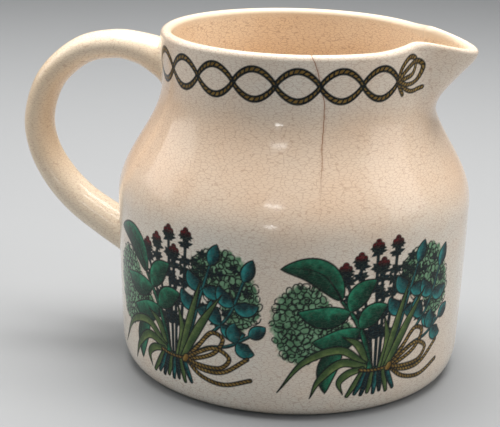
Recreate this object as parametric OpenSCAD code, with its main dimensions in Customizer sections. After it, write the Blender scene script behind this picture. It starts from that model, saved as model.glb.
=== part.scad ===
// Glazed earthenware pitcher with a pinched spout and a loop handle luted on with slip.
// Herb prints go round the belly and a twisted rope print round the neck.
// Origin at the centre of the foot, +X towards the spout, -X towards the handle, +Z up.

/* [Body] */
// Height of the rim away from the spout
rim_z = 152; // [149:1:156]
// Largest radius of the belly, over the glaze
belly_r = 79.2; // [77:0.2:82]
// Height at which the belly starts to turn in to the neck
belly_z = 78; // [74:1:80]
// Smallest radius of the neck, over the glaze
neck_r = 59.9; // [57:0.1:62]
// Height at which the shoulder has become the neck
neck_z = 129; // [127:1:131]
// Thickness of the wall, with its glaze
wall = 4.2; // [3.6:0.1:4.8]
// Thickness of the floor, with its glaze
floor_thickness = 5; // [4:0.5:7]
// Radius of the rounded lip
lip_r = 2.5; // [2.2:0.1:2.8]

/* [Foot] */
// Outer radius of the foot ring
foot_r = 69.5; // [67:0.5:71]
// Width of the foot ring
foot_width = 6.5; // [5:0.5:9]
// Depth of the recess inside the foot ring
foot_recess = 2; // [1.2:0.1:2.5]

/* [Spout] */
// How far the spout reaches out past the round rim
spout_reach = 18.3; // [14:0.1:20]
// Half of the angle that the spout takes up
spout_half_angle = 22; // [20:0.5:26]
// Height at which the spout starts to leave the neck
spout_root_z = 114; // [112:1:117]
// How far the rim rises towards the spout
rim_rise = 3.7; // [2:0.1:4.5]
// How far the middle of the spout dips below that rise
spout_dip = 6.2; // [4:0.1:7]

/* [Handle] */
// Distance from the jug's axis to the middle of the handle, where it is furthest out
handle_reach = 124.6; // [118:0.2:128]
// Height of the middle of the handle at its top
handle_top_z = 139.3; // [136:0.1:141]
// Height at which the middle of the handle meets the belly
handle_low_z = 49; // [46:1:54]
// Thickness of the handle, in the plane of the loop
handle_thickness = 13; // [11:0.5:15]
// Width of the handle across the loop
handle_width = 19; // [16:0.5:22]
// Thickness of the slip pads that hold the handle on
slip_thickness = 1.5; // [1:0.1:2]

/* [Glaze and prints] */
// Thickness of the glaze
glaze = 0.3; // [0.2:0.05:0.4]
// Thickness of the printed transfers, fired on over the glaze
transfer = 0.12; // [0.1:0.01:0.2]
// Height of the middle of the rope print
rope_z = 139.4; // [137:0.2:140]
// Radius of one loop of the rope print, to the middle of the strand
rope_loop_r = 6.3; // [5.5:0.1:7.2]
// Width of the printed strand
rope_strand = 2.3; // [1.8:0.1:2.8]

/* [Hidden] */
$fn = 96;

// Base corner, and the slight swell of the wall up to the belly
corner_z = 14;
corner_r = belly_r - 1.9;
swell_power = 1.3;
// The neck opens slightly up to the lip
lip_flare = 1;
lip_z = rim_z - lip_r;
// Corner between the inner wall and the floor
floor_z = foot_recess + floor_thickness;
floor_corner = 14;
// The wall above the weld is swept round these angles, closely spaced near the spout
weld_z = spout_root_z - 1;
weld_inset = 0.03;
weld_depth = 0.1;
rise_sector = 45;
ring_angles = concat([for (i = [-12:12]) i * 2.5], [for (i = [6:54]) i * 6 > 180 ? i * 6 - 360 : i * 6]);
rise_power = 2.4;
lift_root_z = 138;
// The rope print starts beside the spout: angles from +X, loops to a side, and the bow
rope_start = 32.5;
rope_pitch = 17.3;
rope_loops = 7;
bow_angle = 27;
bow_r = 3.6;
bow_rise = 3;
// One bunch of herbs is printed at each of these angles
herb_angles = [45, 112, 242, 309];

// Handle loop from the upper root to the lower one, as parts of its reach and height,
// each with the factors for its thickness and width there. The first and last only steer
handle_loop = [
    [-0.25, 0.78, 1.50, 1.15],
    [-0.10, 0.88, 1.45, 1.15],
    [0.06, 0.95, 1.30, 1.10],
    [0.22, 0.99, 1.08, 1.03],
    [0.42, 1.00, 1.00, 1.00],
    [0.67, 0.95, 1.00, 1.00],
    [0.90, 0.80, 1.00, 1.00],
    [1.00, 0.60, 1.00, 1.00],
    [0.97, 0.43, 1.03, 1.00],
    [0.85, 0.28, 1.12, 1.02],
    [0.68, 0.16, 1.20, 1.05],
    [0.48, 0.07, 1.28, 1.10],
    [0.30, 0.00, 1.35, 1.15],
    [0.14, -0.06, 1.40, 1.20],
    [-0.02, -0.13, 1.45, 1.20]
];
handle_span_steps = 3;
handle_sides = 24;
// Where the handle's roots meet the body, and half the size of each pad
upper_root_z = 133.5;
upper_pad = [11.4, 12];
lower_root_z = handle_low_z;
lower_pad = [12, 12.6];

function limit(x) = max(0, min(1, x));
function smooth(x) = let(t = limit(x)) t * t * (3 - 2 * t);
function levels(from, to, steps) = [for (i = [0:steps - 1]) from + (to - from) * i / steps];
function reversed(list) = [for (i = [len(list) - 1:-1:0]) list[i]];
function slice(list, from, to) = [for (i = [from:to]) list[i]];

// Radius of the outside at a height above the base corner
function outside_r(z) =
    z < belly_z ? belly_r - (belly_r - corner_r) * pow((belly_z - z) / (belly_z - corner_z), swell_power)
    : z < neck_z ? neck_r + (belly_r - neck_r) * (1 + cos(180 * (z - belly_z) / (neck_z - belly_z))) / 2
    : neck_r + lip_flare * smooth((z - neck_z) / (lip_z - neck_z));

// The wall thickens a little into the lip
function wall_at(z) = wall + (2 * lip_r - wall) * smooth((z - neck_z) / (lip_z - neck_z));

// Outside from the foot ring up to the crown of the lip
outside_line = concat(
    [for (t = [0:15:75]) [foot_r + (corner_r - foot_r) * sin(t), corner_z * (1 - cos(t))]],
    [for (z = levels(corner_z, belly_z, 5)) [outside_r(z), z]],
    [for (z = levels(belly_z, spout_root_z, 7)) [outside_r(z), z]],
    [for (z = levels(spout_root_z, neck_z, 3)) [outside_r(z), z]],
    [for (z = levels(neck_z, lip_z, 5)) [outside_r(z), z]],
    [for (t = [0:22.5:67.5]) [outside_r(lip_z) - lip_r + lip_r * cos(t), lip_z + lip_r * sin(t)]]
);
crown = [outside_r(lip_z) - lip_r, rim_z];

// Inside from the lip down to the middle of the floor
inner_wall_r = outside_r(floor_z + floor_corner) - wall;
inside_line = concat(
    [for (t = [112.5:22.5:157.5]) [outside_r(lip_z) - lip_r + lip_r * cos(t), lip_z + lip_r * sin(t)]],
    [for (z = levels(lip_z, neck_z, 5)) [outside_r(z) - wall_at(z), z]],
    [for (z = levels(neck_z, spout_root_z, 3)) [outside_r(z) - wall, z]],
    [for (z = levels(spout_root_z, belly_z, 7)) [outside_r(z) - wall, z]],
    [for (z = levels(belly_z, floor_z + floor_corner, 5)) [outside_r(z) - wall, z]],
    [for (t = [90:-15:0]) [inner_wall_r - floor_corner * (1 - sin(t)), floor_z + floor_corner * (1 - cos(t))]],
    [[0, floor_z]]
);

// One line over the lip, and the same line moved out along its normals
skin = concat(outside_line, [crown], inside_line);
crown_i = len(outside_line);
last_i = len(skin) - 1;

// The direction to the right of a step along a line
function across(d) = [d[1], -d[0]] / norm(d);
function normal(i) = across(skin[min(i + 1, last_i)] - skin[max(i - 1, 0)]);
function skin_moved(distance) = [for (i = [0:last_i]) skin[i] + distance * normal(i)];

// The part of a line that is above a height, cut through exactly at that height
function above(line, z) = [
    for (i = [1:len(line) - 1])
        let(
            p = line[i - 1],
            q = line[i],
            cut = p + (q - p) * (z - p[1]) / (q[1] - p[1])
        )
        each concat(
            (p[1] < z) != (q[1] < z) ? [cut] : [],
            q[1] > z ? [q] : []
        )
];

// The spout: pulls a profile point outward and tips the rim, at an angle from +X
function lobe(angle, half) = abs(angle) < half ? (1 + cos(180 * angle / half)) / 2 : 0;
function spouted(p, angle) =
    let(
        pull = pow(sin(90 * limit((p[1] - spout_root_z) / (rim_z - spout_root_z))), rise_power),
        lift = smooth((p[1] - lift_root_z) / (rim_z - lift_root_z)),
        narrow = lobe(angle, spout_half_angle),
        r = p[0] + spout_reach * pull * narrow,
        z = p[1] + lift * (rim_rise * lobe(angle, rise_sector) - spout_dip * narrow)
    )
    [r * cos(angle), r * sin(angle), z];

// Catmull-Rom curve through a list of points of any size
function curve_point(p, i, t) =
    let(a = p[i - 1], b = p[i], c = p[i + 1], d = p[i + 2])
    (2 * b + (c - a) * t + (2 * a - 5 * b + 4 * c - d) * t * t + (3 * b - a - 3 * c + d) * t * t * t) / 2;
function curve(p, steps) = [for (i = [1:len(p) - 3], s = [0:steps - 1]) curve_point(p, i, s / steps)];

// Middle line of the handle: distance out, height, half thickness, half width
handle_line = curve([
    for (p = handle_loop) [
        neck_r + p[0] * (handle_reach - neck_r),
        handle_low_z + p[1] * (handle_top_z - handle_low_z),
        p[2] * handle_thickness / 2,
        p[3] * handle_width / 2
    ]
], handle_span_steps);

// One ring of the handle's oval section, grown by a coat
function handle_ring(i, coat) =
    let(
        a = handle_line[max(i - 1, 0)],
        b = handle_line[min(i + 1, len(handle_line) - 1)],
        d = [b[0] - a[0], b[1] - a[1]] / norm([b[0] - a[0], b[1] - a[1]]),
        p = handle_line[i]
    )
    [for (k = [0:handle_sides - 1])
        let(
            t = 360 * k / handle_sides,
            in_plane = (p[2] + coat) * cos(t),
            sideways = (p[3] + coat) * sin(t)
        )
        [-p[0] + d[1] * in_plane, sideways, p[1] + d[0] * in_plane]];

// Faces between rings of the same number of points; closed rings wrap round
function ring_faces(rings, sides, first = 0) = [
    for (i = [0:rings - 2], k = [0:sides - 1])
        let(
            a = first + i * sides + k,
            b = first + i * sides + (k + 1) % sides
        )
        each [[a, b, b + sides], [a, b + sides, a + sides]]
];

module turned(outline) {
    rotate_extrude() polygon(outline);
}

// A closed outline swept all the way round, with the spout drawn out of it
module swept_ring(outline) {
    sides = len(outline);
    rings = len(ring_angles);
    polyhedron(
        points = [for (a = ring_angles, p = outline) spouted(p, a)],
        faces = [
            for (i = [0:rings - 1], k = [0:sides - 1])
                let(
                    next_k = (k + 1) % sides,
                    next_i = (i + 1) % rings,
                    a = i * sides + k,
                    b = i * sides + next_k,
                    c = next_i * sides + next_k,
                    d = next_i * sides + k
                )
                each [[a, b, c], [a, c, d]]
        ]
    );
}

// A layer that is turned up to the weld and swept above it. The swept ring starts a hair
// below the weld and a hair inside the turned wall, so the two join as one solid
module with_spout(outline) {
    upper = above(outline, weld_z - weld_depth);
    last = len(upper) - 1;
    difference() {
        turned(outline);
        translate([0, 0, weld_z])
            cylinder(r = 2 * belly_r, h = rim_z);
    }
    swept_ring(concat(
        [upper[0] - [weld_inset, 0]],
        slice(upper, 1, last - 1),
        [upper[last] + [weld_inset, 0]]
    ));
}

// Everything within a distance of the glazed outside, up to the lip
module envelope(distance) {
    moved = skin_moved(distance);
    turned(concat([[0, -1], [moved[1][0], -1]], slice(moved, 1, crown_i), [[0, rim_z + distance]]));
}

module pad_prism(z, size) {
    translate([-neck_r / 2, 0, z])
        rotate([0, -90, 0])
            linear_extrude(belly_r)
                polygon([for (t = [0:10:350]) [size[0] * cos(t), size[1] * sin(t)]]);
}

module pad_prisms() {
    pad_prism(upper_root_z, upper_pad);
    pad_prism(lower_root_z, lower_pad);
}

module clay_body() {
    foot_in = foot_r - foot_width;
    color("AntiqueWhite")
        with_spout(concat(
            [[0, foot_recess], [foot_in - foot_recess, foot_recess], [foot_in, 0], [foot_r, 0]],
            slice(skin_moved(-glaze), 1, last_i)
        ));
}

module outer_glaze() {
    clay = skin_moved(-glaze);
    color("Wheat")
        difference() {
            with_spout(concat(slice(skin, 1, crown_i), reversed(slice(clay, 1, crown_i))));
            pad_prisms();
        }
}

module inner_glaze() {
    clay = skin_moved(-glaze);
    color("BurlyWood")
        with_spout(concat(reversed(slice(clay, crown_i, last_i)), slice(skin, crown_i, last_i)));
}

module base_glaze() {
    color("Ivory")
        translate([0, 0, foot_recess - glaze])
            cylinder(r = foot_r - foot_width - foot_recess, h = glaze);
}

module handle() {
    rings = len(handle_line);
    last = (rings - 1) * handle_sides;
    color("BlanchedAlmond")
        difference() {
            polyhedron(
                points = [for (i = [0:rings - 1]) each handle_ring(i, -glaze)],
                faces = concat(
                    ring_faces(rings, handle_sides),
                    [reversed([for (k = [0:handle_sides - 1]) k])],
                    [[for (k = [0:handle_sides - 1]) last + k]]
                )
            );
            envelope(slip_thickness - glaze);
        }
}

module handle_glaze() {
    rings = len(handle_line);
    inner = rings * handle_sides;
    last = (rings - 1) * handle_sides;
    color("NavajoWhite")
        difference() {
            polyhedron(
                points = [for (coat = [0, -glaze], i = [0:rings - 1]) each handle_ring(i, coat)],
                faces = concat(
                    ring_faces(rings, handle_sides),
                    [for (f = ring_faces(rings, handle_sides, inner)) reversed(f)],
                    [for (k = [0:handle_sides - 1])
                        let(n = (k + 1) % handle_sides)
                        each [
                            [k, inner + k, inner + n],
                            [k, inner + n, n],
                            [last + k, last + n, inner + last + n],
                            [last + k, inner + last + n, inner + last + k]
                        ]]
                )
            );
            envelope(slip_thickness - glaze);
        }
}

// A pad of slip between the body and one end of the handle
module handle_joint(z, size) {
    color("Bisque")
        difference() {
            intersection() {
                envelope(slip_thickness - glaze);
                pad_prism(z, size);
            }
            envelope(-glaze);
        }
}

module upper_handle_joint() {
    handle_joint(upper_root_z, upper_pad);
}

module lower_handle_joint() {
    handle_joint(lower_root_z, lower_pad);
}

// The thin printed layer on the glaze, inside a shape out along +X, turned to an angle
module printed(angle) {
    rotate([0, 0, angle])
        difference() {
            intersection() {
                envelope(transfer);
                children();
            }
            envelope(0);
        }
}

// A straight tube out along +X, whose wall is one round of strand
module strand_ring(z, r) {
    translate([neck_r / 2, 0, z])
        rotate([0, 90, 0])
            difference() {
                cylinder(r = r + rope_strand / 2, h = belly_r);
                translate([0, 0, -1])
                    cylinder(r = r - rope_strand / 2, h = belly_r + 2);
            }
}

// Loops of rope round one side of the neck, and a bow beside the spout.
// side is -1 for the front and 1 for the back
module rope_transfer(side) {
    color("DarkGoldenrod") {
        for (i = [0:rope_loops - 1])
            printed(side * (rope_start + (i + 0.5) * rope_pitch))
                strand_ring(rope_z, rope_loop_r);
        printed(side * bow_angle)
            strand_ring(rope_z + bow_rise, bow_r);
    }
}

module rope_transfer_front() {
    rope_transfer(-1);
}

module rope_transfer_back() {
    rope_transfer(1);
}

// Flat outline of a tied bunch of herbs: four round heads, and a body down to the cut stems
module bunch_outline() {
    translate([-25, 52.3])
        circle(r = 16);
    translate([-8, 60.6])
        circle(r = 16);
    translate([11, 64.3])
        circle(r = 16);
    translate([27, 54.3])
        circle(r = 15);
    polygon([[-38, 46], [-2, 24], [-9, 10], [17, 10], [8, 24], [39, 46], [0, 70]]);
}

module herb_transfer(angle) {
    color("OliveDrab")
        printed(angle)
            translate([neck_r / 2, 0, 0])
                rotate([90, 0, 90])
                    linear_extrude(belly_r)
                        bunch_outline();
}

module herb_transfer_1() {
    herb_transfer(herb_angles[0]);
}

module herb_transfer_2() {
    herb_transfer(herb_angles[1]);
}

module herb_transfer_3() {
    herb_transfer(herb_angles[2]);
}

module herb_transfer_4() {
    herb_transfer(herb_angles[3]);
}

clay_body();
outer_glaze();
inner_glaze();
base_glaze();
handle();
handle_glaze();
upper_handle_joint();
lower_handle_joint();
rope_transfer_front();
rope_transfer_back();
herb_transfer_1();
herb_transfer_2();
herb_transfer_3();
herb_transfer_4();
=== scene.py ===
"""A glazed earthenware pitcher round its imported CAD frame: smooth glaze with crazing and stains,
a handle blended into the body, and printed herbs and rope. Shapes are in millimetres until a
mesh is made. Materials, floor, lights and camera are in metres."""

import math

import bpy
import numpy as np
from mathutils import Matrix, Vector


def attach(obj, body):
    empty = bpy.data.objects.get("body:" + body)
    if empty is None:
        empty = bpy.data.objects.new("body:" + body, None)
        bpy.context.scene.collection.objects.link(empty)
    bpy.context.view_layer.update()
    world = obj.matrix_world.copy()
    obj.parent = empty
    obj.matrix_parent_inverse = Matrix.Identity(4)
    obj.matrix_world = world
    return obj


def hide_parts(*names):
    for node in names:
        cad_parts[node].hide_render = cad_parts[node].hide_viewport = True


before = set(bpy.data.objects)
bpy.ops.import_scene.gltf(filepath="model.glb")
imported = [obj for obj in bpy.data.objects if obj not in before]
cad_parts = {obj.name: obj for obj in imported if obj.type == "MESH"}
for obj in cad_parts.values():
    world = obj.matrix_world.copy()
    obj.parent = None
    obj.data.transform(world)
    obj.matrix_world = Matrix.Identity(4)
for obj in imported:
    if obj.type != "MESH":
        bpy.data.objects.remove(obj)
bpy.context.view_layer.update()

MM = 0.001

# ---------------------------------------------------------------- sizes shared with the CAD part
RIM_Z = 152.0
BELLY_R, BELLY_Z = 79.2, 78.0
NECK_R, NECK_Z = 59.9, 129.0
WALL, LIP_R, LIP_FLARE = 4.2, 2.5, 1.0
LIP_Z = RIM_Z - LIP_R
FOOT_R, CORNER_Z, CORNER_R = 69.5, 14.0, BELLY_R - 1.9
SWELL_POWER = 1.3
FLOOR_Z, FLOOR_CORNER = 7.0, 14.0
# The outside glaze starts this far up the turn of the base corner; the floor's rings stop
# at a small radius, where one flat face closes them
GLAZE_LOW_TURN, FLOOR_MIDDLE = math.radians(12), 0.5
SPOUT_REACH, SPOUT_HALF_ANGLE, SPOUT_ROOT_Z = 18.3, 22.0, 114.0
RIM_RISE, SPOUT_DIP, RISE_SECTOR = 3.7, 6.2, 45.0
RISE_POWER, LIFT_ROOT_Z = 2.4, 138.0
GLAZE = 0.3
# The reach is a hair less than the CAD's, so that the smooth loop stays inside the CAD's box
HANDLE_REACH, HANDLE_TOP_Z, HANDLE_LOW_Z = 124.54, 139.3, 49.0
HANDLE_THICKNESS, HANDLE_WIDTH = 13.0, 19.0
# Parts of the handle's reach and height, and factors for its thickness and width. The first and
# the last row only steer the curve.
HANDLE_LOOP = [
    (-0.25, 0.78, 1.50, 1.15),
    (-0.10, 0.88, 1.45, 1.15),
    (0.06, 0.95, 1.30, 1.10),
    (0.22, 0.99, 1.08, 1.03),
    (0.42, 1.00, 1.00, 1.00),
    (0.67, 0.95, 1.00, 1.00),
    (0.90, 0.80, 1.00, 1.00),
    (1.00, 0.60, 1.00, 1.00),
    (0.97, 0.43, 1.03, 1.00),
    (0.85, 0.28, 1.12, 1.02),
    (0.68, 0.16, 1.20, 1.05),
    (0.48, 0.07, 1.28, 1.10),
    (0.30, 0.00, 1.35, 1.15),
    (0.14, -0.06, 1.40, 1.20),
    (-0.02, -0.13, 1.45, 1.20),
]
# Angles of the ties of the herb bunches, and the rope print's loops, from the spout's axis
TIE_ANGLES = {"herb_transfer_1": 48, "herb_transfer_2": 115, "herb_transfer_3": -115, "herb_transfer_4": -48}
ROPE_Z, ROPE_START, ROPE_PITCH, ROPE_LOOPS = 139.4, 32.5, 17.3, 7
ROPE_HALF_HEIGHT, ROPE_STRAND = 6.3, 2.3
# How far a print's film stands over the glaze, and how far its underside is sunk into it
PRINT_HEIGHT, PRINT_SINK = 0.09, 0.04
FAINTEST_INK = 0.02


# ---------------------------------------------------------------- shape of the body
def smooth(x):
    t = np.clip(x, 0, 1)
    return t * t * (3 - 2 * t)


def outside_r(z):
    """Radius of the glazed outside at heights above the base corner."""
    z = np.asarray(z, float)
    below_belly = np.clip(BELLY_Z - z, 0, None) / (BELLY_Z - CORNER_Z)
    wall = BELLY_R - (BELLY_R - CORNER_R) * below_belly**SWELL_POWER
    turn = np.pi * (z - BELLY_Z) / (NECK_Z - BELLY_Z)
    shoulder = NECK_R + (BELLY_R - NECK_R) * (1 + np.cos(turn)) / 2
    neck = NECK_R + LIP_FLARE * smooth((z - NECK_Z) / (LIP_Z - NECK_Z))
    corner = FOOT_R + (CORNER_R - FOOT_R) * np.sqrt(np.clip(1 - (1 - z / CORNER_Z) ** 2, 0, 1))
    return np.select([z < CORNER_Z, z < BELLY_Z, z < NECK_Z], [corner, wall, shoulder], neck)


def wall_at(z):
    """Thickness of the wall, which thickens a little into the lip."""
    return WALL + (2 * LIP_R - WALL) * smooth((z - NECK_Z) / (LIP_Z - NECK_Z))


def spouted(r, z, angle):
    """Points of the body at an angle in degrees, with the spout drawn out of the round wall."""
    def lobe(half):
        return np.where(np.abs(angle) < half, (1 + np.cos(np.pi * angle / half)) / 2, 0)

    pull = np.sin(np.pi / 2 * np.clip((z - SPOUT_ROOT_Z) / (RIM_Z - SPOUT_ROOT_Z), 0, 1)) ** RISE_POWER
    lift = smooth((z - LIFT_ROOT_Z) / (RIM_Z - LIFT_ROOT_Z))
    out = r + SPOUT_REACH * pull * lobe(SPOUT_HALF_ANGLE)
    up = z + lift * (RIM_RISE * lobe(RISE_SECTOR) - SPOUT_DIP * lobe(SPOUT_HALF_ANGLE))
    turn = np.radians(angle)
    return np.stack(np.broadcast_arrays(out * np.cos(turn), out * np.sin(turn), up), -1)


def skin_line():
    """The glazed surface as one line of (r, z), from the foot over the lip to the floor's middle,
    and the index of the lip's crown on it."""
    lip_middle = outside_r(LIP_Z) - LIP_R
    inner_wall = outside_r(FLOOR_Z + FLOOR_CORNER) - WALL

    def outer(z):
        return np.stack([outside_r(z), z], 1)

    def inner(z):
        return np.stack([outside_r(z) - wall_at(z), z], 1)

    def lip(turn):
        return np.stack([lip_middle + LIP_R * np.cos(turn), LIP_Z + LIP_R * np.sin(turn)], 1)

    def base_corner(turn):
        return np.stack([FOOT_R + (CORNER_R - FOOT_R) * np.sin(turn), CORNER_Z * (1 - np.cos(turn))], 1)

    def floor_corner(turn):
        out = inner_wall - FLOOR_CORNER * (1 - np.sin(turn))
        return np.stack([out, FLOOR_Z + FLOOR_CORNER * (1 - np.cos(turn))], 1)

    outside = [
        base_corner(np.linspace(GLAZE_LOW_TURN, math.pi / 2, 22, endpoint=False)),
        outer(np.linspace(CORNER_Z, BELLY_Z, 28, endpoint=False)),
        outer(np.linspace(BELLY_Z, NECK_Z, 48, endpoint=False)),
        outer(np.linspace(NECK_Z, LIP_Z, 22, endpoint=False)),
        lip(np.linspace(0, math.pi / 2, 14, endpoint=False)),
    ]
    inside = [
        lip(np.linspace(math.pi / 2, math.pi, 14, endpoint=False)),
        inner(np.linspace(LIP_Z, NECK_Z, 22, endpoint=False)),
        inner(np.linspace(NECK_Z, BELLY_Z, 30, endpoint=False)),
        inner(np.linspace(BELLY_Z, FLOOR_Z + FLOOR_CORNER, 16, endpoint=False)),
        floor_corner(np.linspace(math.pi / 2, 0, 16, endpoint=False)),
        np.stack([np.linspace(inner_wall - FLOOR_CORNER, FLOOR_MIDDLE, 10), np.full(10, FLOOR_Z)], 1),
    ]
    return np.concatenate(outside + inside), sum(len(part) for part in outside)


def moved_in(line, distance):
    """A line of (r, z) moved to its left, into the clay."""
    step = np.gradient(line, axis=0)
    normal = np.stack([step[:, 1], -step[:, 0]], 1)
    return line - distance * normal / np.linalg.norm(normal, axis=1, keepdims=True)


# ---------------------------------------------------------------- meshes
def grid_normals(points, wrap):
    """Unit normals of a grid of points; the second direction may close on itself."""
    along = np.gradient(points, axis=0)
    if wrap:
        around = np.roll(points, -1, 1) - np.roll(points, 1, 1)
    else:
        around = np.gradient(points, axis=1)
    normal = np.cross(around, along)
    return normal / np.maximum(np.linalg.norm(normal, axis=2, keepdims=True), 1e-12)


def make_piece(name, points, faces, normals, material, replaced):
    """A piece of the pitcher from points in millimetres, with smooth shading from given normals.
    It takes the place of the CAD nodes in a list."""
    mesh = bpy.data.meshes.new(name)
    mesh.from_pydata((np.asarray(points) * MM).tolist(), [], faces)
    mesh.validate()
    mesh.shade_smooth()
    mesh.normals_split_custom_set_from_vertices(np.asarray(normals).tolist())
    piece = bpy.data.objects.new(name, mesh)
    bpy.context.scene.collection.objects.link(piece)
    mesh.materials.append(material)
    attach(piece, "root")
    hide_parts(*replaced)
    return piece


def tube_faces(rings, sides, loop):
    """Quads between closed rings; with loop the last ring joins the first."""
    faces = []
    for i in range(rings if loop else rings - 1):
        a, b = i * sides, (i + 1) % rings * sides
        faces += [(a + k, a + (k + 1) % sides, b + (k + 1) % sides, b + k) for k in range(sides)]
    return faces


def end_caps(rings, sides):
    """Flat faces that close the first and the last ring of a tube."""
    return [tuple(range(sides - 1, -1, -1)), tuple((rings - 1) * sides + k for k in range(sides))]


def body_angles():
    """Angles round the jug, closely spaced where the spout is."""
    half = 30
    near = np.arange(-half, half, 0.75)
    far = np.linspace(half, 360 - half, 150, endpoint=False)
    return np.concatenate([near, far])


def make_body(outside_material, inside_material):
    """The two glaze coats as closed shells, which meet on the crown of the lip."""
    line, crown = skin_line()
    angles = body_angles()
    signed = np.where(angles > 180, angles - 360, angles)
    skin = spouted(line[:, :1], line[:, 1:], signed[None, :])
    under_line = moved_in(line, GLAZE)
    under = spouted(under_line[:, :1], under_line[:, 1:], signed[None, :])
    normals = grid_normals(skin, wrap=True)
    sides = len(angles)

    def shell(name, first, last, material, slot, closed_middle):
        """A coat over part of the line. With closed_middle its last ring closes on the floor.
        The CAD node named by slot is hidden in its place."""
        points = np.concatenate([skin[first:last], under[first:last][::-1]])
        shading = np.concatenate([normals[first:last], -normals[first:last][::-1]])
        rings, half = len(points), last - first
        faces = tube_faces(rings, sides, loop=True)
        if closed_middle:
            middle = slice((half - 1) * sides, half * sides)
            del faces[middle]
            faces.append(tuple((half - 1) * sides + k for k in range(sides)))
            faces.append(tuple(half * sides + k for k in range(sides - 1, -1, -1)))
        make_piece(name, points.reshape(-1, 3), faces, shading.reshape(-1, 3), material, [slot])

    shell("glaze_outside", 0, crown + 1, outside_material, "outer_glaze", False)
    shell("glaze_inside", crown, len(line), inside_material, "inner_glaze", True)


# ---------------------------------------------------------------- handle and its luted joints
HANDLE_SIDES, HANDLE_STEPS = 72, 16
FILLET_RINGS, MIDDLE_RINGS = 14, 150
# How far each root's fillet reaches along the handle and over the body, how far its edge is
# sunk into the glaze, and the part of its radius by which the flat end is sunk into the wall
FILLET_ON_HANDLE, FILLET_ON_BODY = 6.5, 4.2
FILLET_SINK, ROOT_SINK = 0.04, 0.02


def catmull_rom(points, steps):
    """A smooth curve through a list of points, the first and last of which only steer."""
    p = np.asarray(points, float)
    t = np.linspace(0, 1, steps, endpoint=False)[:, None]
    spans = []
    for i in range(1, len(p) - 2):
        a, b, c, d = p[i - 1 : i + 3]
        curve = 2 * b + (c - a) * t + (2 * a - 5 * b + 4 * c - d) * t**2 + (3 * b - a - 3 * c + d) * t**3
        spans.append(curve / 2)
    return np.concatenate(spans + [p[-2:-1]])


def handle_rings():
    """The handle's oval rings, from inside the neck to inside the belly."""
    loop = np.array(HANDLE_LOOP)
    reach = NECK_R + loop[:, 0] * (HANDLE_REACH - NECK_R)
    height = HANDLE_LOW_Z + loop[:, 1] * (HANDLE_TOP_Z - HANDLE_LOW_Z)
    sizes = loop[:, 2:] * np.array([HANDLE_THICKNESS, HANDLE_WIDTH]) / 2
    path = catmull_rom(np.column_stack([reach, height, sizes]), HANDLE_STEPS)
    step = np.gradient(path[:, :2], axis=0)
    step /= np.linalg.norm(step, axis=1, keepdims=True)
    turn = np.linspace(0, 2 * np.pi, HANDLE_SIDES, endpoint=False)
    in_plane = path[:, 2:3] * np.cos(turn)
    across = path[:, 3:4] * np.sin(turn)
    return np.stack(
        [-path[:, :1] + step[:, 1:2] * in_plane, across, path[:, 1:2] + step[:, :1] * in_plane], -1
    )


def run_of(line):
    """How far along a polyline each of its points is."""
    return np.concatenate([[0], np.cumsum(np.linalg.norm(np.diff(line, axis=0), axis=1))])


def along_line(line, distance):
    """Points at given distances along a polyline."""
    run = run_of(line)
    return np.stack([np.interp(distance, run, line[:, k]) for k in range(3)], -1)


def entry_distance(line):
    """How far along a line it first leaves the body."""
    run = run_of(line)
    outside = np.hypot(line[:, 0], line[:, 1]) - outside_r(line[:, 2])
    i = np.flatnonzero((outside[:-1] < 0) & (outside[1:] >= 0))[0]
    return run[i] + (run[i + 1] - run[i]) * outside[i] / (outside[i] - outside[i + 1])


def root_fillet(lines):
    """Rings of the fillet at the start of the handle's lines, from the body out to the handle."""
    starts = [entry_distance(line) for line in lines]
    feet, ends = [
        np.array([along_line(line, [s + beyond])[0] for line, s in zip(lines, starts)])
        for beyond in (0, FILLET_ON_HANDLE)
    ]
    normal = feet * [1, 1, 0]
    normal /= np.linalg.norm(normal, axis=1, keepdims=True)
    away = feet - feet.mean(0)
    away -= normal * (away * normal).sum(1, keepdims=True)
    away /= np.linalg.norm(away, axis=1, keepdims=True)
    spread = feet + FILLET_ON_BODY * away
    ring = np.hypot(spread[:, 0], spread[:, 1])
    scale = (outside_r(spread[:, 2]) - FILLET_SINK) / ring
    spread[:, :2] *= scale[:, None]
    t = np.linspace(0, 1, FILLET_RINGS)[:, None, None]
    rings = (1 - t) ** 2 * spread + 2 * t * (1 - t) * feet + t**2 * ends
    return rings, np.array(starts) + FILLET_ON_HANDLE


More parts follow.
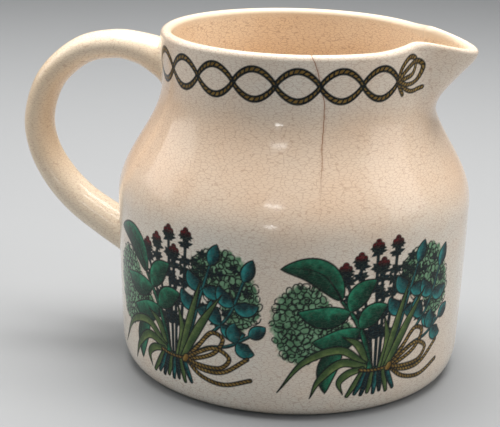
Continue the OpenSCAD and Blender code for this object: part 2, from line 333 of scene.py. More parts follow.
def make_handle(material):
    """The handle between its two fillets, all on one grid so that the surface has no seam."""
    rings = handle_rings()
    lines = [rings[:, k] for k in range(HANDLE_SIDES)]
    upper, upper_end = root_fillet(lines)
    lower, lower_end = root_fillet([line[::-1] for line in lines])
    middle = []
    for line, first, last in zip(lines, upper_end, lower_end):
        whole = np.linalg.norm(np.diff(line, axis=0), axis=1).sum()
        middle.append(along_line(line, np.linspace(first, whole - last, MIDDLE_RINGS)))
    middle = np.stack(middle, 1)
    grid = np.concatenate([upper[:-1], middle, lower[::-1][1:]])
    normals = grid_normals(grid, wrap=True)
    outward = (grid - grid.mean(1, keepdims=True)) * normals
    normals *= np.sign(outward.sum())
    # One more ring at each end is sunk into the wall, so that the flat end stays hidden there
    sunk = [1 - ROOT_SINK, 1 - ROOT_SINK, 1]
    grid = np.concatenate([grid[:1] * sunk, grid, grid[-1:] * sunk])
    normals = np.concatenate([normals[:1], normals, normals[-1:]])
    last_upper, first_lower = FILLET_RINGS, FILLET_RINGS - 1 + MIDDLE_RINGS
    for name, first, last, slot, node in [
        ("upper_joint_blend", 0, last_upper + 1, "handle_slip", "upper_handle_joint"),
        ("handle_glazed", last_upper, first_lower + 1, "handle_glaze", "handle_glaze"),
        ("lower_joint_blend", first_lower, len(grid), "handle_slip", "lower_handle_joint"),
    ]:
        count = last - first
        faces = tube_faces(count, HANDLE_SIDES, loop=False) + end_caps(count, HANDLE_SIDES)
        points = grid[first:last].reshape(-1, 3)
        shading = normals[first:last].reshape(-1, 3)
        make_piece(name, points, faces, shading, material, [node])


# ---------------------------------------------------------------- drawing the prints
def linear(*rgb):
    """A colour given as 0-255 display values, as linear values."""
    c = np.array(rgb, float) / 255
    return np.where(c <= 0.04045, c / 12.92, ((c + 0.055) / 1.055) ** 2.4)


INK = linear(4, 14, 18)
NIGHT = linear(4, 26, 34)
NIGHT_LIGHT = linear(10, 52, 62)
DEEP_GREEN = linear(2, 52, 38)
LEAF_GREEN = linear(46, 150, 112)
TEAL = linear(44, 152, 150)
DARK_TEAL = linear(2, 40, 48)
DULL_GREEN = linear(76, 122, 86)
OLIVE = linear(120, 140, 80)
DARK_OLIVE = linear(58, 84, 46)
CURL_GREEN = linear(136, 178, 142)
CRIMSON = linear(112, 4, 20)
DARK_CRIMSON = linear(38, 2, 10)
ROPE_GOLD = linear(116, 84, 28)
ROPE_TAN = linear(214, 178, 100)
# Width of the ink line round a leaf, and height of the tie on a bunch
OUTLINE = 0.72
TIE_Z = 22.0


class Print:
    """Ink on a flat grid: colour and cover at each point, painted from the back to the front."""

    def __init__(self, left, right, low, high, step, seed):
        self.u = np.arange(left, right, step)
        self.v = np.arange(low, high, step)
        self.grid = np.stack(np.meshgrid(self.u, self.v), -1)
        self.colour = np.zeros(self.grid.shape[:2] + (3,))
        self.cover = np.zeros(self.grid.shape[:2])
        self.step = step
        self.random = np.random.default_rng(seed)
        self.mottle = self.cloud(2.2) * 0.6 + self.cloud(0.8) * 0.4

    def cloud(self, size):
        """Soft noise from 0 to 1 with lumps of a size in millimetres."""
        rows = int(np.ptp(self.v) / size) + 3
        cols = int(np.ptp(self.u) / size) + 3
        lattice = self.random.random((rows, cols))
        x = (self.grid[..., 0] - self.u[0]) / size
        y = (self.grid[..., 1] - self.v[0]) / size
        i, j = y.astype(int), x.astype(int)
        fy, fx = smooth(y - i), smooth(x - j)
        top = lattice[i, j] * (1 - fx) + lattice[i, j + 1] * fx
        bottom = lattice[i + 1, j] * (1 - fx) + lattice[i + 1, j + 1] * fx
        return top * (1 - fy) + bottom * fy

    def window(self, low, high):
        """The part of the grid inside a box, as slices."""
        i0, i1 = np.searchsorted(self.v, [low[1], high[1]])
        j0, j1 = np.searchsorted(self.u, [low[0], high[0]])
        return slice(i0, i1), slice(j0, j1)

    def paint(self, where, amount, colour):
        """Lays a colour, or a colour at each point, over what is there."""
        cover = self.cover[where]
        total = amount + cover * (1 - amount)
        mixed = amount[..., None] * colour + (cover * (1 - amount))[..., None] * self.colour[where]
        self.colour[where] = mixed / np.maximum(total, 1e-6)[..., None]
        self.cover[where] = total

    def soft(self, distance):
        """1 inside, 0 outside, with an edge as wide as the grid's step."""
        return np.clip(0.5 - distance / self.step, 0, 1)

    def blade(self, line, width, dark, light, edge=OUTLINE, lit_side=1, rib=0.0, marks=0.0):
        """A leaf, stem or strand: a shape round a line whose half width changes along it.
        It is shaded from dark to light across, and may have an outline, a rib and slanting marks."""
        line, width = np.asarray(line, float), np.asarray(width, float)
        reach = width.max() + edge + self.step
        where = self.window(line.min(0) - reach, line.max(0) + reach)
        points = self.grid[where]
        if points.size == 0:
            return
        start, step = line[:-1], np.diff(line, axis=0)
        length = np.maximum(np.linalg.norm(step, axis=1), 1e-9)
        run = run_of(line)
        best = np.full(points.shape[:2], 1e9)
        side, along = np.zeros_like(best), np.zeros_like(best)
        for k in range(len(step)):
            offset = points - start[k]
            t = np.clip((offset @ step[k]) / length[k] ** 2, 0, 1)
            gap = offset - t[..., None] * step[k]
            distance = np.hypot(gap[..., 0], gap[..., 1])
            nearer = distance < best
            best = np.where(nearer, distance, best)
            turn = step[k, 0] * offset[..., 1] - step[k, 1] * offset[..., 0]
            side = np.where(nearer, np.sign(turn), side)
            along = np.where(nearer, run[k] + t * length[k], along)
        half = np.interp(along, run, width)
        part = along / run[-1]
        across = side * best / np.maximum(half, 0.05)
        shade = 0.45 + 0.5 * lit_side * across + 0.7 * (self.mottle[where] - 0.5)
        colour = dark + (light - dark) * np.clip(shade, 0, 1)[..., None] ** 2
        inside = self.soft(best - half)
        self.paint(where, inside, colour)
        if rib:
            self.paint(where, self.soft(best - rib * (1 - part)) * inside, INK)
        if marks:
            wave = np.abs(((along / marks + across * 0.42) % 1) - 0.5)
            self.paint(where, inside * np.clip((wave - 0.27) * 9, 0, 1), INK)
        if edge:
            self.paint(where, self.soft(np.abs(best - half + edge / 4) - edge / 2), INK)

    def stroke(self, line, width, colour=INK):
        """A plain line of ink."""
        self.blade(line, np.full(len(line), width / 2), colour, colour, edge=0)

    def leaf(self, start, end, half_width, dark, light, bend=0.0, lit_side=1, rib=0.0):
        """A pointed oval leaf from its stalk to its tip."""
        start, end = np.asarray(start, float), np.asarray(end, float)
        s = np.linspace(0, 1, 26)
        side = np.array([-(end - start)[1], (end - start)[0]])
        line = start + np.outer(s, end - start) + np.outer(np.sin(np.pi * s) * bend, side)
        width = half_width * np.sin(np.pi * s**0.85) ** 0.75
        self.blade(line, width, dark, light, lit_side=lit_side, rib=rib)

    def grass(self, points, half_width, dark=DARK_OLIVE, light=OLIVE, tip=True):
        """A long blade through a few points, narrowing to its tip."""
        line = through(points)
        s = np.linspace(0, 1, len(line))
        width = half_width * (0.7 + 0.5 * np.sin(np.pi * s)) * (1 - s**3 if tip else 1)
        self.blade(line, width + 0.15, dark, light, edge=0.6)

    def rope(self, points, half_width=0.95):
        """A twisted strand, with slanting marks across it."""
        line = through(points)
        width = np.full(len(line), half_width)
        self.blade(line, width, ROPE_GOLD, ROPE_TAN, edge=0.55, marks=1.7, lit_side=0)

    def curl(self, centre, radius):
        """A small open loop of ink."""
        turn = self.random.uniform(0, 2 * np.pi) + np.linspace(0, 5.6, 12)
        wobble = radius * (1 + 0.2 * np.sin(2 * turn + self.random.uniform(0, 6)))
        line = np.asarray(centre) + np.stack([wobble * np.cos(turn), wobble * np.sin(turn)], 1)
        self.stroke(line, 0.58)

    def curly_mass(self, centre, radii, spacing):
        """A light green wash filled with curls, as parsley is drawn."""
        centre, radii = np.asarray(centre, float), np.asarray(radii, float)
        where = self.window(centre - radii * 1.2, centre + radii * 1.2)
        apart = (self.grid[where] - centre) / radii
        ring = np.hypot(apart[..., 0], apart[..., 1]) + 0.25 * (self.mottle[where] - 0.5)
        wash = DULL_GREEN + (CURL_GREEN - DULL_GREEN) * (1.6 * self.mottle[where][..., None] - 0.2)
        self.paint(where, np.clip((1.03 - ring) * 9, 0, 1), np.clip(wash, 0, 1))
        rows = int(radii[1] / spacing) + 1
        cols = int(radii[0] / spacing) + 1
        for i in range(-rows, rows + 1):
            for j in range(-cols, cols + 1):
                jitter = self.random.uniform(-0.32, 0.32, 2)
                place = np.array([(j + 0.5 * (i % 2)) * spacing, i * spacing * 0.88]) + jitter * spacing
                size = spacing * self.random.uniform(0.38, 0.66)
                if np.hypot(*(place / radii)) < 0.98:
                    self.curl(centre + place, size)

    def star(self, centre, size, count=6, dark=NIGHT, light=NIGHT_LIGHT, flat=0.62):
        """A ragged star of short pointed leaves."""
        first = self.random.uniform(0, np.pi)
        for k in range(count):
            turn = first + 2 * np.pi * (k + self.random.uniform(-0.25, 0.25)) / count
            reach = size * self.random.uniform(0.8, 1.25)
            tip = np.asarray(centre) + reach * np.array([np.cos(turn), np.sin(turn) * flat])
            line = np.linspace(centre, tip, 6)
            self.blade(line, size * 0.24 * np.sin(np.pi * np.linspace(0.2, 1, 6)), dark, light, edge=0.3)

    def foliage(self, centre, radii, count, size, dark, light):
        """Small dark stars scattered over an oval, evenly but not in rows."""
        golden = math.pi * (3 - math.sqrt(5))
        for k in range(count):
            reach = math.sqrt((k + 0.5) / count)
            way = np.array([math.cos(golden * k), math.sin(golden * k)])
            jitter = self.random.uniform(-0.08, 0.08, 2)
            self.star(np.asarray(centre) + (reach * way + jitter) * radii, size, 5, dark, light, 0.85)

    def bud(self, centre, size):
        """A crimson flower head over ragged green sepals."""
        centre = np.asarray(centre, float)
        for turn in np.radians([196, 222, 248, 270, 292, 318, 344]):
            tip = centre + size * 1.5 * np.array([np.cos(turn), np.sin(turn) * 0.8])
            line = np.linspace(centre, tip, 6)
            width = size * 0.34 * np.sin(np.pi * np.linspace(0.25, 1, 6))
            self.blade(line, width, NIGHT, DEEP_GREEN, edge=0.3)
        for dx, dy, r in [(-0.55, 0.2, 0.5), (0.55, 0.2, 0.5), (0, 0.75, 0.5), (0, 0.25, 0.55)]:
            middle = centre + size * np.array([dx, dy])
            line = np.array([middle - [0.05, 0], middle + [0.05, 0]])
            self.blade(line, [size * r] * 2, DARK_CRIMSON, CRIMSON, edge=0.25)


def through(points, steps=9):
    """A smooth line through a few points."""
    p = np.asarray(points, float)
    return catmull_rom(np.concatenate([[2 * p[0] - p[1]], p, [2 * p[-1] - p[-2]]]), steps)


def draw_flower_stems(art):
    """Upright dark stems with whorls, each with a crimson head."""
    tops = [(-16, 69), (-9.5, 73), (-2, 78), (1, 70), (7.5, 78.5)]
    for k, (u, v) in enumerate(tops):
        foot = 1.7 * (k - 2)
        line = through([(foot, TIE_Z), (foot + 0.25 * u, 42), (u * 0.9, 60), (u, v - 2)])
        art.blade(line, np.full(len(line), 0.7), NIGHT, NIGHT_LIGHT, edge=0.4)
        for part in np.linspace(0.26, 0.92, 5) + 0.03 * (k % 3):
            place = line[min(int(part * (len(line) - 1)), len(line) - 1)]
            art.star(place, 4.6 - 1.0 * part, 7)
    for u, v in tops:
        art.bud((u, v - 1.5), 2.7)


def draw_big_leaves(art):
    """A curved sprig of large green leaves in pairs, with one at its end."""
    stem = through([(-2.5, TIE_Z), (-6, 36), (-11, 46), (-17, 54)])
    art.blade(stem, np.linspace(1.7, 0.8, len(stem)), DEEP_GREEN, LEAF_GREEN)
    pairs = [(0.50, (-29, 36), (4.5, 50)), (0.80, (-35.5, 49.5), (-1.5, 62))]
    for part, left, right in pairs:
        node = stem[int(part * (len(stem) - 1))]
        art.leaf(node, left, 5.0, DEEP_GREEN, LEAF_GREEN, bend=0.10, lit_side=-1)
        art.leaf(node, right, 4.8, DEEP_GREEN, LEAF_GREEN, bend=0.12)
    art.leaf(stem[-1], (-43, 68), 6.0, DEEP_GREEN * 0.7, LEAF_GREEN * 0.7, bend=-0.22, lit_side=-1, rib=0.5)
    art.leaf((-16, 34), (-22.5, 12.5), 4.6, DEEP_GREEN * 0.8, LEAF_GREEN * 0.8, bend=-0.12)


def draw_teal_sprigs(art):
    """Three sprigs of oval teal leaves in pairs, which lean out to the right."""
    sprigs = [
        ([(5, TIE_Z), (11, 38), (15, 52), (19.5, 66)], [0.56, 0.80], 11.5),
        ([(6, TIE_Z), (17, 33), (28, 45), (34.5, 61)], [0.60, 0.82], 12),
        ([(7, TIE_Z), (18, 29), (28, 31.5), (37, 37)], [0.86], 10),
    ]
    for points, parts, length in sprigs:
        stem = through(points)
        art.blade(stem, np.full(len(stem), 0.75), DARK_TEAL, TEAL, edge=0.45)
        for part in parts:
            i = int(part * (len(stem) - 2))
            ahead = stem[i + 1] - stem[i]
            ahead /= np.linalg.norm(ahead)
            for turn in (1.1, -1.1):
                way = np.array([
                    ahead[0] * math.cos(turn) - ahead[1] * math.sin(turn),
                    ahead[0] * math.sin(turn) + ahead[1] * math.cos(turn),
                ])
                end = stem[i] + way * length * (1.1 - 0.25 * part)
                art.leaf(stem[i], end, 3.5, DARK_TEAL, TEAL, bend=0.14 * turn, lit_side=np.sign(turn))
        way = (stem[-1] - stem[-3]) / np.linalg.norm(stem[-1] - stem[-3])
        art.leaf(stem[-1], stem[-1] + way * length * 0.9, 3.1, DARK_TEAL, TEAL)


def draw_grasses(art):
    """Long olive blades: three upright to the right, four arching down to the left."""
    for points, half in [
        ([(2.5, TIE_Z), (5.5, 33), (3, 46)], 1.6),
        ([(4, TIE_Z), (10, 42), (15.5, 60)], 1.5),
        ([(5.5, TIE_Z), (15, 39), (25, 54)], 1.7),
        ([(-4.5, 26), (-9, 34), (-16, 38)], 1.5),
        ([(-5, 24.5), (-17, 32), (-32, 27), (-43, 13)], 1.6),
        ([(-5, 23.5), (-16, 26), (-25, 19), (-29, 10.5)], 1.7),
        ([(-6, 22.5), (-12.5, 21), (-16.5, 17), (-14.5, 11.5)], 1.5),
    ]:
        art.grass(points, half)


def draw_cut_stems(art):
    """The fan of cut stems under the tie."""
    colours = [(DARK_OLIVE, OLIVE), (DARK_TEAL, TEAL), (NIGHT, NIGHT_LIGHT)]
    feet = [-12.5, -9, -6, -3, 0, 3, 6.5, 10]
    for k, foot in enumerate(feet):
        top = -5.6 + 11.2 * k / (len(feet) - 1)
        dark, light = colours[k % 3]
        middle = (top * 0.6 + foot * 0.4, 17)
        art.grass([(top, TIE_Z), middle, (foot, 10.6 + 0.8 * (k % 2))], 1.05, dark, light, tip=False)


def draw_bow(art):
    """The rope round the stems, with two loops and two tails to the right."""
    knot = np.array([7.0, TIE_Z - 0.3])
    for points in [
        [(0, 0), (8, -6.2), (19, -8.2), (31, -4.5)],
        [(0, 0), (9, -3.2), (19, -2.4), (29.5, 5)],
        [(0, 0), (6.5, 7), (13, 14.5), (18.5, 12.5), (15, 6), (7.5, 2), (0, 0)],
        [(0, 0), (7, 4.5), (15, 7.8), (21.5, 4.2), (17.5, -0.8), (8, -1.4), (0, 0)],
    ]:
        art.rope([knot + p for p in points])
    art.rope([(-7.2, TIE_Z), (-2, TIE_Z - 0.8), (3, TIE_Z - 0.8), knot], 0.8)
    art.blade([knot - [0.4, 0.6], knot + [0.4, 0.6]], [1.5, 1.5], ROPE_GOLD, ROPE_TAN, edge=0.5)


def draw_tendril(art):
    """A curly tendril behind the end leaf, which hides nearly all of it."""
    turns = np.linspace(0, 1, 60)
    line = np.stack([
        -31 + 14 * turns + 1.6 * np.cos(22 * turns),
        71 - 9 * turns**2 + 2.2 * np.sin(22 * turns),
    ], 1)
    art.stroke(line, 0.7)


def draw_herbs():
    """One bunch of herbs, tied with rope, with its tie at the middle of the grid."""
    art = Print(-51, 45, 7.5, 83, 0.33, seed=11)
    art.curly_mass((-33.5, 44), (13, 18), 2.9)
    art.curly_mass((-20, 38), (9, 9), 2.8)
    art.curly_mass((24, 62), (14, 12), 2.8)
    art.curly_mass((33, 51), (9, 12), 2.8)
    draw_tendril(art)
    art.foliage((13, 58), (8, 13), 12, 3.4, NIGHT, DEEP_GREEN)
    draw_flower_stems(art)
    art.foliage((27, 52), (12, 14), 12, 2.8, NIGHT, DARK_TEAL)
    draw_teal_sprigs(art)
    draw_cut_stems(art)
    draw_big_leaves(art)
    draw_grasses(art)
    draw_bow(art)
    return art


def draw_rope():
    """Two strands that cross between loops, and a bow at the end beside the spout. The grid's
    first direction is the angle from the spout, in millimetres round the neck."""
    per_degree = math.radians(NECK_R)
    first = ROPE_START * per_degree
    pitch = ROPE_PITCH * per_degree
    last = first + ROPE_LOOPS * pitch
    art = Print(14 * per_degree, last + 3, ROPE_Z - 9, ROPE_Z + 10.5, 0.3, seed=5)
    steps = 18
    part = np.linspace(0, 1, steps + 1)
    wave = ROPE_HALF_HEIGHT * np.sin(np.pi * part) ** 0.8
    half = ROPE_STRAND / 2 * (0.78 + 0.36 * np.sin(np.pi * part))
    for k in range(ROPE_LOOPS):
        for side in ((-1) ** k, -((-1) ** k)):
            line = np.stack([first + (k + part) * pitch, ROPE_Z + side * wave], 1)
            art.blade(line, half, ROPE_GOLD, ROPE_TAN * 0.7, edge=0.95, marks=2.2, lit_side=0)
    knot = np.array([first, ROPE_Z])
    for points in [
        [(0, 0), (-5, -4), (-10, -5.5), (-16, -4.5)],
        [(0, 0), (-1.2, -3), (-3.2, -6)],
        [(0, 0), (-1.5, 5), (-6, 8.4), (-10.5, 6.6), (-9, 2), (-4, 0.6), (0, 0)],
        [(0, 0), (-4, 3.5), (-10, 6.2), (-14.8, 4.4), (-12.5, -0.8), (-6, -2.2), (0, 0)],
    ]:
        art.rope([knot + p for p in points])
    return art


def film_cells(cover):
    """Which squares of a print's grid the film fills: those with ink, and one ring round them."""
    inked = cover > FAINTEST_INK
    near = inked.copy()
    for shift in ((0, 1), (0, -1), (1, 0), (-1, 0)):
        near |= np.roll(inked, shift, (0, 1))
    cell = near[:-1, :-1] | near[1:, :-1] | near[:-1, 1:] | near[1:, 1:]
    cell[[0, -1]] = False
    cell[:, [0, -1]] = False
    return cell


def film_faces(cell, width):
    """The grid points that a film uses, and its faces. The lower layer's points follow the upper's."""
    rows, cols = np.nonzero(cell)
    corner = rows * width + cols
    used, compact = np.unique(
        np.stack([corner, corner + 1, corner + width + 1, corner + width], 1), return_inverse=True
    )
    top = compact.reshape(-1, 4)
    bottom = top + len(used)
    padded = np.pad(cell, 1)
    sides = []
    for dr, dc, a, b in ((-1, 0, 0, 1), (0, 1, 1, 2), (1, 0, 2, 3), (0, -1, 3, 0)):
        edge = ~padded[rows + 1 + dr, cols + 1 + dc]
        sides.append(np.stack([top[edge, b], top[edge, a], bottom[edge, a], bottom[edge, b]], 1))
    return used, np.concatenate([top, bottom[:, ::-1]] + sides)


def film_mesh(name, art, angles, heights, material, node):
    """A thin closed film on the glaze wherever there is ink. angles has one value for each
    column of the print, and rises or falls with it; heights has one for each row."""
    angle, z = np.meshgrid(angles, heights)
    base = spouted(outside_r(z), z, angle)
    normal = grid_normals(base, wrap=False)
    normal *= np.sign((normal * base * [1, 1, 0]).sum())
    cell = film_cells(art.cover)
    used, faces = film_faces(cell, art.cover.shape[1])
    if angles[-1] < angles[0]:
        faces = faces[:, ::-1]
    # The film's edge is sunk into the glaze, and its middle stands over it, but not so far that
    # it leaves the box of the glazed body
    inner = np.zeros(art.cover.shape, bool)
    inner[1:-1, 1:-1] = cell[:-1, :-1] & cell[1:, :-1] & cell[:-1, 1:] & cell[1:, 1:]
    height = np.where(inner, PRINT_HEIGHT, -PRINT_SINK * 0.5)[..., None]
    upper = (base + normal * height).reshape(-1, 3)[used]
    upper[:, 1] = np.clip(upper[:, 1], -BELLY_R, BELLY_R)
    lower = (base - normal * PRINT_SINK).reshape(-1, 3)[used]
    points = np.concatenate([upper, lower])
    shading = normal.reshape(-1, 3)[used]
    shading = np.concatenate([shading, -shading])
    piece = make_piece(name, points, faces.tolist(), shading, material, [node])
    ink = np.concatenate([art.colour, art.cover[..., None]], -1).reshape(-1, 4)[used]
    layer = piece.data.attributes.new("ink", "FLOAT_COLOR", "POINT")
    layer.data.foreach_set("color", np.tile(ink, (2, 1)).astype(np.float32).ravel())


def make_prints(herb_material, rope_material):
    """The same bunch four times round the belly, and the rope both ways from the spout."""
    herbs = draw_herbs()
    for node, tie in TIE_ANGLES.items():
        angles = tie + np.degrees(herbs.u / BELLY_R)
        film_mesh(node + "_ink", herbs, angles, herbs.v, herb_material, node)
    rope = draw_rope()
    turn = rope.u / math.radians(NECK_R)
    film_mesh("rope_front_ink", rope, -turn, rope.v, rope_material, "rope_transfer_front")
    film_mesh("rope_back_ink", rope, turn, rope.v, rope_material, "rope_transfer_back")


# ---------------------------------------------------------------- materials
class Nodes:
    """Short calls for making a material's nodes."""

    def __init__(self, name):
        self.material = bpy.data.materials.new(name)
        self.material.use_nodes = True
        self.tree = self.material.node_tree
        self.shader = self.tree.nodes["Principled BSDF"]

    def link(self, value, socket):
        if isinstance(value, bpy.types.NodeSocket):
            self.tree.links.new(value, socket)
        else:
            socket.default_value = value

    def make(self, kind, **settings):
        node = self.tree.nodes.new(kind)
        for key, value in settings.items():
            setattr(node, key, value)
        return node

    def math(self, operation, a, b=0.0, c=0.0, clamp=False):
        node = self.make("ShaderNodeMath", operation=operation, use_clamp=clamp)
        for value, socket in zip((a, b, c), node.inputs):
            self.link(value, socket)
        return node.outputs[0]

    def ramp(self, value, low, high, to_low=0.0, to_high=1.0):
        node = self.make("ShaderNodeMapRange", interpolation_type="SMOOTHSTEP")
        for v, socket in zip((value, low, high, to_low, to_high), node.inputs):
            self.link(v, socket)
        return node.outputs[0]

    def mix(self, factor, a, b, blend="MIX"):
        node = self.make("ShaderNodeMix", data_type="RGBA", blend_type=blend)
        self.link(factor, node.inputs[0])
        self.link(a, node.inputs[6])
        self.link(b, node.inputs[7])
        return node.outputs[2]

    def place(self, scale=(1, 1, 1)):
        where = self.make("ShaderNodeTexCoord").outputs["Object"]
        mapping = self.make("ShaderNodeMapping")
        self.link(where, mapping.inputs["Vector"])
        mapping.inputs["Scale"].default_value = scale
        return mapping.outputs[0]

    def noise(self, scale, detail=2.0, rough=0.5, place=None, colour=False):
        node = self.make("ShaderNodeTexNoise")
        self.link(place or self.place(), node.inputs["Vector"])
        node.inputs["Scale"].default_value = scale
        node.inputs["Detail"].default_value = detail
        node.inputs["Roughness"].default_value = rough
        return node.outputs["Color" if colour else "Fac"]

    def cells(self, place, scale):
        node = self.make("ShaderNodeTexVoronoi", feature="DISTANCE_TO_EDGE")
        self.link(place, node.inputs["Vector"])
        node.inputs["Scale"].default_value = scale
        return node.outputs["Distance"]

    def position(self):
        split = self.make("ShaderNodeSeparateXYZ")
        self.link(self.place(), split.inputs[0])
        return split.outputs


def rgba(*rgb):
    """A colour for a node, from 0-255 display values."""
    return (*linear(*rgb), 1.0)


def warped_place(n, scale, frequency, amount):
    """Object coordinates pushed about by noise, so that straight edges wander."""
    push = n.make("ShaderNodeVectorMath", operation="MULTIPLY_ADD")
    n.link(n.noise(frequency, 2.0, colour=True), push.inputs[0])
    push.inputs[1].default_value = (amount, amount, amount)
    n.link(n.place(scale), push.inputs[2])
    return push.outputs[0]


# Crazing: how its pattern is squeezed, how often and how far its lines wander, and for the
# coarse and the fine lines the cells in a metre and the half width in parts of a cell
CRAZE_SCALE, CRAZE_WANDER, CRAZE_PUSH = (1, 1, 2.6), 150, 0.0022
COARSE_CELLS, COARSE_WIDTH = 400, 0.085
FINE_CELLS, FINE_WIDTH = 700, 0.07
CRAZE_BROWN = rgba(150, 92, 48)


def crazing(n):
    """Fine crack lines in the glaze, 1 on a line and 0 between lines."""
    place = warped_place(n, CRAZE_SCALE, CRAZE_WANDER, CRAZE_PUSH)
    coarse = n.ramp(n.cells(place, COARSE_CELLS), 0.0, COARSE_WIDTH, 1.0, 0.0)
    fine = n.ramp(n.cells(place, FINE_CELLS), 0.0, FINE_WIDTH, 1.0, 0.0)
    patchy = n.ramp(n.noise(28, 3.0), 0.42, 0.62, 0.0, 0.5)
    return n.math("MAXIMUM", coarse, n.math("MULTIPLY", fine, patchy))


# The long crack: its angle at the bend, in degrees, and how it runs above and below the bend
CRACK_ANGLE, CRACK_BEND_Z, CRACK_LOW_Z = -65.0, 126.0, 92.0
CRACK_SWEEP, CRACK_SLOPE = 155.0, 1.5
# Half width of its line and of the stain beside it, in radians round the jug
CRACK_WIDTH, CRACK_HALO = 0.0055, 0.026
CRACK_BROWN, CRACK_COVER = rgba(146, 84, 38), 0.85


def hairline_crack(n):
    """One brown crack that runs down from the rim on the front, over the neck and shoulder."""
    x, y, z = n.position()
    angle = n.math("ARCTAN2", y, x)
    over = n.math("SUBTRACT", z, CRACK_BEND_Z * MM)
    above = n.math("POWER", n.math("MAXIMUM", over, 0.0), 2.0)
    middle = n.math("MULTIPLY_ADD", above, -CRACK_SWEEP, math.radians(CRACK_ANGLE))
    middle = n.math("MULTIPLY_ADD", n.math("MINIMUM", over, 0.0), CRACK_SLOPE, middle)
    wander = n.math("MULTIPLY_ADD", n.noise(90, 4.0, 0.6, n.place((0.02, 0.02, 1))), 0.036, -0.018)
    gap = n.math("ABSOLUTE", n.math("SUBTRACT", angle, n.math("ADD", middle, wander)))
    line = n.ramp(gap, 0.001, CRACK_WIDTH, 1.0, 0.0)
    halo = n.ramp(gap, 0.0, CRACK_HALO, 0.22, 0.0)
    fade = n.ramp(z, (CRACK_LOW_Z - 6) * MM, (CRACK_LOW_Z + 30) * MM, 0.0, 1.0)
    return n.math("MULTIPLY", n.math("MAXIMUM", line, halo), fade)


def glaze_colour(n, clean, stained, stain_low, crack_depth):
    """Colour of the glaze, with stained patches, a shoulder tinted partly by stain and partly by painted
    warm light from above, crazing and the long crack; and the crazing.
    """
    z = n.position()["Z"]
    patches = n.noise(14, 4.0, 0.55)
    # The shoulder band takes on the stained colour: partly a stain, partly painted warm light where the
    # shoulder faces the light from above
    shoulder = n.math("MULTIPLY", n.ramp(z, 0.070, 0.098), n.ramp(z, 0.118, 0.140, 1.0, 0.25))
    amount = n.math("MULTIPLY_ADD", shoulder, 0.75, stain_low)
    amount = n.math("ADD", amount, n.ramp(patches, 0.3, 0.75, -0.25, 0.3), clamp=True)
    colour = n.mix(amount, clean, stained)
    colour = n.mix(n.ramp(n.noise(95, 3.0), 0.45, 0.8, 0.0, 0.22), colour, stained)
    lines = crazing(n)
    colour = n.mix(n.math("MULTIPLY", lines, crack_depth), colour, CRAZE_BROWN)
    colour = n.mix(n.math("MULTIPLY", hairline_crack(n), CRACK_COVER), colour, CRACK_BROWN)
    return colour, lines


# Refraction of the glaze, and the range of its roughness
GLAZE_IOR, GLAZE_ROUGH = 1.36, (0.07, 0.16)


def finish_glaze(n, colour, lines):
    """A glossy, slightly wavy surface of that colour, with the crazing lines just sunk in."""
    n.link(colour, n.shader.inputs["Base Color"])
    n.link(n.ramp(n.noise(40, 3.0), 0.3, 0.7, *GLAZE_ROUGH), n.shader.inputs["Roughness"])
    n.shader.inputs["IOR"].default_value = GLAZE_IOR
    waves = n.noise(30, 2.0)
    height = n.math("MULTIPLY_ADD", lines, -0.04, waves)
    bump = n.make("ShaderNodeBump")
    bump.inputs["Strength"].default_value = 0.2
    bump.inputs["Distance"].default_value = 0.0004
    n.link(height, bump.inputs["Height"])
    n.link(bump.outputs[0], n.shader.inputs["Normal"])
    return n.material


# The outside: its clean and stained colours (the stained one also tints the shoulder, part stain and part
# painted light from above), how stained it is away from the shoulder, and how deep the crazing's colour is
OUTSIDE = (rgba(236, 229, 216), rgba(238, 210, 182), 0.10, 0.36)


def outside_glaze():
    n = Nodes("cream_glaze")
    return finish_glaze(n, *glaze_colour(n, *OUTSIDE))


def inside_glaze():
    n = Nodes("stained_lining")
    colour, lines = glaze_colour(n, rgba(250, 236, 214), rgba(246, 219, 184), 0.35, 0.42)
    rim = n.ramp(n.position()["Z"], 0.1465, 0.1515)
    return finish_glaze(n, n.mix(rim, colour, rgba(238, 222, 198)), lines)


def handle_coat():
    n = Nodes("handle_glaze_coat")
    return finish_glaze(n, *glaze_colour(n, rgba(250, 238, 218), rgba(242, 222, 194), 0.40, 0.32))


def printed_ink(name):
    """The outside glaze with fired ink laid over it, from the film's own colours."""
    n = Nodes(name)
    glaze, lines = glaze_colour(n, *OUTSIDE)
    ink = n.make("ShaderNodeAttribute", attribute_name="ink")
    wash = n.ramp(n.noise(420, 3.0), 0.35, 0.75, 0.0, 0.28)
    tone = n.mix(wash, ink.outputs["Color"], rgba(70, 120, 110), "SOFT_LIGHT")
    tone = n.mix(n.math("MULTIPLY", lines, 0.16), tone, rgba(120, 130, 110))
    material = finish_glaze(n, n.mix(ink.outputs["Alpha"], glaze, tone), lines)
    n.shader.inputs["Specular IOR Level"].default_value = 0.3
    return material


def bare_clay():
    """Unglazed earthenware, seen on the foot ring."""
    n = Nodes("bare_earthenware")
    grain = n.noise(900, 4.0, 0.7)
    colour = n.mix(grain, rgba(186, 160, 128), rgba(216, 196, 166))
    colour = n.mix(n.ramp(n.noise(60, 3.0), 0.5, 0.8, 0.0, 0.5), colour, rgba(150, 120, 90))
    n.link(colour, n.shader.inputs["Base Color"])
    n.shader.inputs["Roughness"].default_value = 0.85
    bump = n.make("ShaderNodeBump")
    bump.inputs["Strength"].default_value = 0.5
    bump.inputs["Distance"].default_value = 0.0002
    n.link(grain, bump.inputs["Height"])
    n.link(bump.outputs[0], n.shader.inputs["Normal"])
    return n.material


def set_material(node, material):
    """Puts a material on a CAD node that is shown with its own mesh."""
    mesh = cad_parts[node].data
    mesh.materials.clear()
    mesh.materials.append(material)


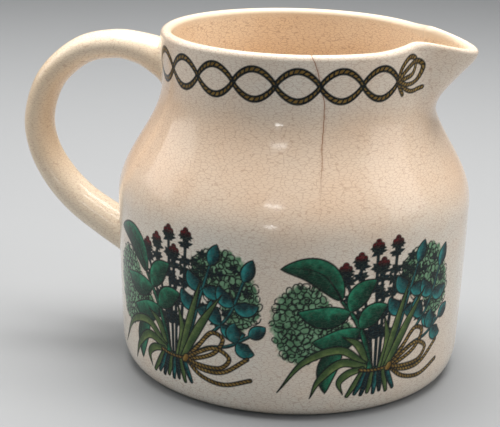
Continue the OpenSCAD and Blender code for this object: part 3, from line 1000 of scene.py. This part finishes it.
# ---------------------------------------------------------------- floor, light and camera
def add_light(name, place, target, size, power, colour=(1, 1, 1)):
    """A rectangular light, in metres and watts, that faces a point."""
    light = bpy.data.lights.new(name, "AREA")
    light.shape = "RECTANGLE"
    light.size, light.size_y = size
    light.energy = power
    light.color = colour
    obj = bpy.data.objects.new(name, light)
    obj.location = place
    obj.rotation_euler = (Vector(target) - obj.location).to_track_quat("-Z", "Y").to_euler()
    bpy.context.scene.collection.objects.link(obj)


def make_stage():
    """A pale floor that curves up into a backdrop."""
    radius, front, depth, top, half = 0.5, -2.5, 1.3, 2.6, 3.0
    turn = np.linspace(0, math.pi / 2, 17)
    curve = [(depth + radius * math.sin(t), radius * (1 - math.cos(t))) for t in turn]
    line = [(front, 0.0)] + curve + [(depth + radius, top)]
    points = [(x, y, z) for y, z in line for x in (-half, half)]
    faces = [(2 * i, 2 * i + 1, 2 * i + 3, 2 * i + 2) for i in range(len(line) - 1)]
    mesh = bpy.data.meshes.new("floor")
    mesh.from_pydata(points, [], faces)
    mesh.shade_smooth()
    floor = bpy.data.objects.new("floor", mesh)
    bpy.context.scene.collection.objects.link(floor)
    n = Nodes("pale_floor")
    n.shader.inputs["Base Color"].default_value = rgba(152, 156, 160)
    n.shader.inputs["Roughness"].default_value = 0.7
    mesh.materials.append(n.material)


# Colour and strength of the weak light that comes from all round
SKY, SKY_STRENGTH = (0.85, 0.93, 1.0, 1), 0.10


def make_lights():
    """Warm light from above and both sides, and two small windows that show in the glaze."""
    world = bpy.data.worlds.new("studio")
    bpy.context.scene.world = world
    world.use_nodes = True
    background = world.node_tree.nodes["Background"]
    background.inputs[0].default_value = SKY
    background.inputs[1].default_value = SKY_STRENGTH
    middle, warm = (0, 0, 0.08), (1, 0.95, 0.90)
    add_light("overhead", (0.0, 0.18, 1.15), middle, (1.1, 0.9), 29, warm)
    add_light("left_softbox", (-1.15, -0.05, 0.75), middle, (0.7, 1.0), 5, warm)
    add_light("right_softbox", (1.15, 0.05, 0.75), middle, (0.7, 1.0), 5, warm)
    add_light("front_strip", (0.02, -1.2, 0.85), middle, (0.26, 0.05), 0.9)
    add_light("low_window", (0.02, -1.2, 0.30), middle, (0.12, 0.06), 0.5)


# The camera stands in front of the jug, moved round towards the spout by CAMERA_TURN degrees
CAMERA_TURN, CAMERA_AWAY, CAMERA_HEIGHT = 14.0, 0.620, 0.2606
CAMERA_YAW, CAMERA_PITCH, CAMERA_ROLL = 1.81, 17.37, 1.39
# Width of the sensor in millimetres, and the focal length as a multiple of it
SENSOR, CAMERA_FOCUS = 36, 2.84


def make_camera():
    """A camera fitted to the picture."""
    data = bpy.data.cameras.new("camera")
    data.sensor_width = SENSOR
    data.lens = CAMERA_FOCUS * SENSOR
    camera = bpy.data.objects.new("camera", data)
    bpy.context.scene.collection.objects.link(camera)
    turn = math.radians(CAMERA_TURN)
    camera.location = (CAMERA_AWAY * math.sin(turn), -CAMERA_AWAY * math.cos(turn), CAMERA_HEIGHT)
    heading = turn + math.radians(CAMERA_YAW)
    pitch, roll = math.radians(CAMERA_PITCH), math.radians(CAMERA_ROLL)
    level = math.cos(pitch)
    forward = Vector((-math.sin(heading) * level, math.cos(heading) * level, -math.sin(pitch)))
    rotation = forward.to_track_quat("-Z", "Y").to_matrix().to_4x4()
    rotation = rotation @ Matrix.Rotation(roll, 4, "Z")
    camera.rotation_euler = rotation.to_euler()
    bpy.context.scene.camera = camera


# Plain colours, because the default view transform dulls the inks
bpy.context.scene.view_settings.view_transform = "Standard"
make_camera()
make_stage()
make_lights()
outside = outside_glaze()
make_body(outside, inside_glaze())
make_handle(handle_coat())
make_prints(printed_ink("herb_ink"), printed_ink("rope_ink"))
set_material("clay_body", bare_clay())
set_material("handle", bare_clay())
set_material("base_glaze", outside)
